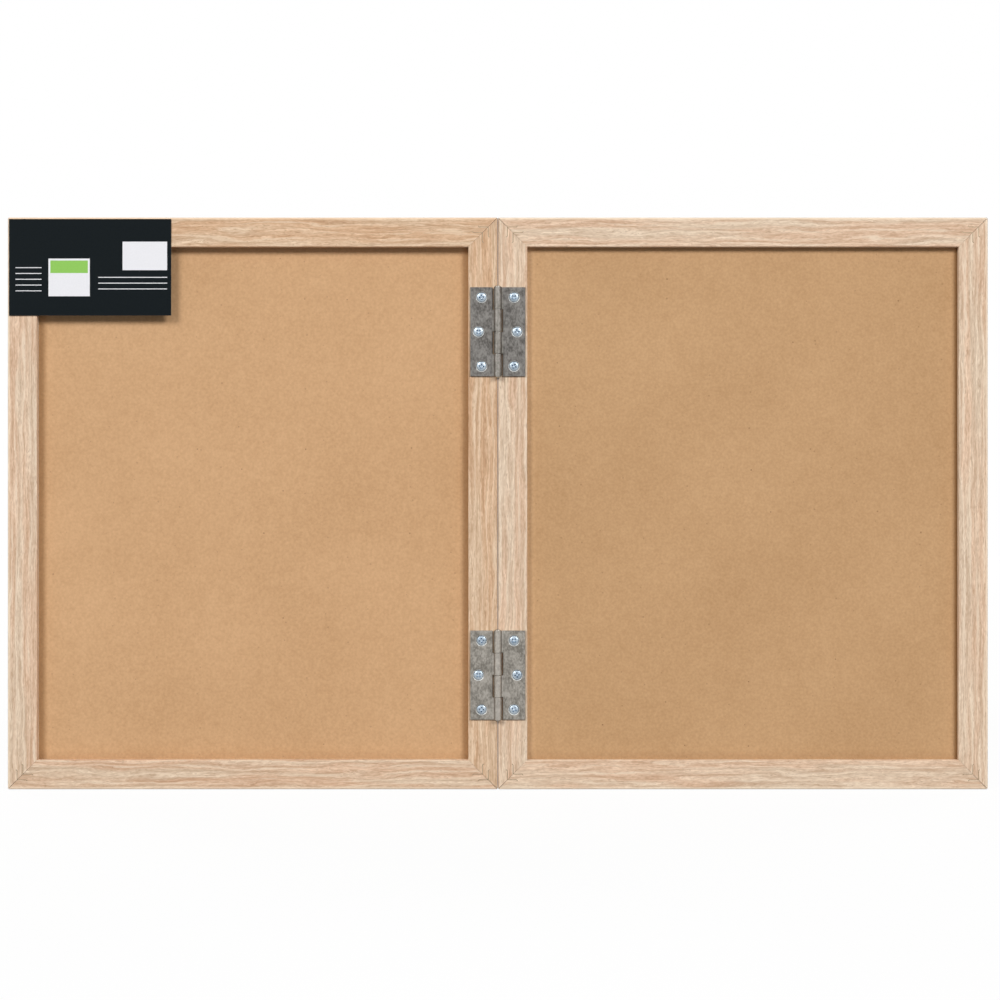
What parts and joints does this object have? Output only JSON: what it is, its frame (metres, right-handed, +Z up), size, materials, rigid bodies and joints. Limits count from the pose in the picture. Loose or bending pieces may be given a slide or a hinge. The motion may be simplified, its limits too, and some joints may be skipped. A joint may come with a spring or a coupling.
{
  "type": "folding combination memo board",
  "caption": "Wall or desk memo board: a dry-erase panel and a linen pin board in wooden frames, hinged at the back so that they fold back to back.",
  "frame": {"origin": "middle of the underside, below the line of the hinge pins to within half the depth: centre of the bounding box in X and Y, on the plane that both bottom rails stand on", "axes": "+Z up along the hinge pins, +X to the right as seen from behind (the view of the picture, from -Y), +Y from the hinged backs towards the writing and pinning faces"},
  "size_m": [0.6, 0.0208, 0.35],
  "materials": {
    "oak_foil": "light oak-effect paper foil wrapped on fibreboard, satin, fine straight grain along each rail",
    "hardboard_pale": "bare brown fibreboard, matt, fine specks",
    "hardboard_dark": "bare brown fibreboard, matt, slightly darker",
    "dry_erase_laminate": "glossy white dry-erase laminate",
    "greyboard": "plain grey card",
    "softboard": "soft pressed fibreboard",
    "linen": "natural plain-weave linen, stretched flat",
    "hinge_steel": "dull rolled steel, mottled, lightly oiled",
    "bright_zinc": "bright bluish zinc plate",
    "nail_steel": "plain dark spring steel",
    "black_card": "printed black card, satin"
  },
  "bodies": {
    "left_board": {"dry_erase_sheet": "dry_erase_laminate", "dry_erase_stiffener": "greyboard", "label_card": "black_card", "left_backing_board": "hardboard_pale", "left_bottom_hinge_v_nail_1": "nail_steel", "left_bottom_hinge_v_nail_2": "nail_steel", "left_bottom_outer_v_nail_1": "nail_steel", "left_bottom_outer_v_nail_2": "nail_steel", "left_bottom_rail": "oak_foil", "left_hinge_rail": "oak_foil", "left_outer_rail": "oak_foil", "left_top_hinge_v_nail_1": "nail_steel", "left_top_hinge_v_nail_2": "nail_steel", "left_top_outer_v_nail_1": "nail_steel", "left_top_outer_v_nail_2": "nail_steel", "left_top_rail": "oak_foil", "lower_hinge_left_leaf": "hinge_steel", "lower_hinge_left_screw_1": "bright_zinc", "lower_hinge_left_screw_2": "bright_zinc", "lower_hinge_left_screw_3": "bright_zinc", "lower_hinge_pin": "hinge_steel", "upper_hinge_left_leaf": "hinge_steel", "upper_hinge_left_screw_1": "bright_zinc", "upper_hinge_left_screw_2": "bright_zinc", "upper_hinge_left_screw_3": "bright_zinc", "upper_hinge_pin": "hinge_steel"},
    "right_board": {"linen_cloth": "linen", "lower_hinge_right_leaf": "hinge_steel", "lower_hinge_right_screw_1": "bright_zinc", "lower_hinge_right_screw_2": "bright_zinc", "lower_hinge_right_screw_3": "bright_zinc", "pin_softboard": "softboard", "right_backing_board": "hardboard_dark", "right_bottom_hinge_v_nail_1": "nail_steel", "right_bottom_hinge_v_nail_2": "nail_steel", "right_bottom_outer_v_nail_1": "nail_steel", "right_bottom_outer_v_nail_2": "nail_steel", "right_bottom_rail": "oak_foil", "right_hinge_rail": "oak_foil", "right_outer_rail": "oak_foil", "right_top_hinge_v_nail_1": "nail_steel", "right_top_hinge_v_nail_2": "nail_steel", "right_top_outer_v_nail_1": "nail_steel", "right_top_outer_v_nail_2": "nail_steel", "right_top_rail": "oak_foil", "upper_hinge_right_leaf": "hinge_steel", "upper_hinge_right_screw_1": "bright_zinc", "upper_hinge_right_screw_2": "bright_zinc", "upper_hinge_right_screw_3": "bright_zinc"}
  },
  "joints": [
    {"name": "hinge_fold", "type": "hinge", "parent": "left_board", "child": "right_board", "pos_m": [0, -0.00805, 0.175], "axis": [0, 0, -1], "range_deg": [0, 180]}
  ]
}
